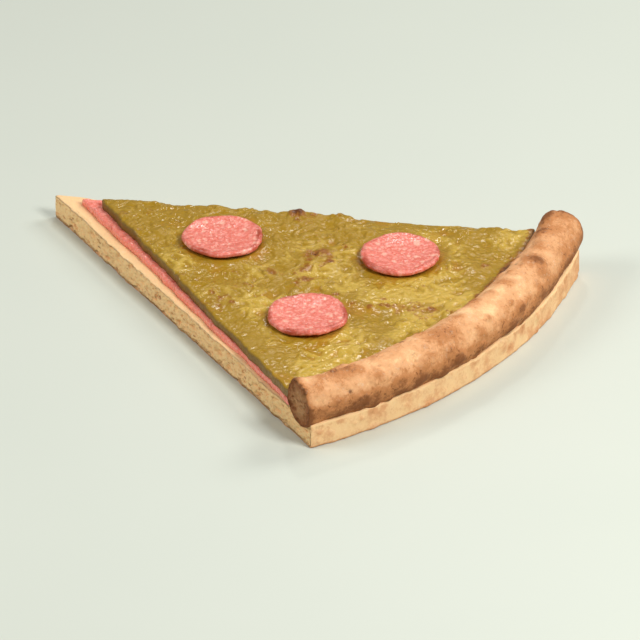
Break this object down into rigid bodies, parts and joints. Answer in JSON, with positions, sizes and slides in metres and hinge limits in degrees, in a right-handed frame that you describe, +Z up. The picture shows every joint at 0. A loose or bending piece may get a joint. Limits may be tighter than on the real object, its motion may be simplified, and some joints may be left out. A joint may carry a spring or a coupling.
{
  "type": "pepperoni pizza slice",
  "caption": "Wedge of baked pizza dough with a rolled outer rim, a layer of tomato sauce, a layer of melted cheese and cupped pepperoni slices on top.",
  "frame": {"origin": "on the underside, halfway between the tip and the rim's outermost point, on the slice's middle line", "axes": "+X from the tip to the rim along the middle line, +Y across the slice, +Z up out of the toppings"},
  "size_m": [0.2284, 0.1925, 0.0295],
  "materials": {
    "baked_dough": "baked wheat dough, golden tan with browner patches, dry and matt",
    "tomato_sauce": "cooked tomato sauce, salmon red, moist",
    "melted_cheese": "melted and baked cheese, dull golden yellow, slightly oily",
    "pepperoni": "baked cured sausage, salmon red with paler fat, slightly oily"
  },
  "bodies": {
    "root": {"crust": "baked_dough", "sauce": "tomato_sauce", "cheese": "melted_cheese", "pepperoni_tip": "pepperoni", "pepperoni_near": "pepperoni", "pepperoni_far": "pepperoni"}
  },
  "joints": []
}
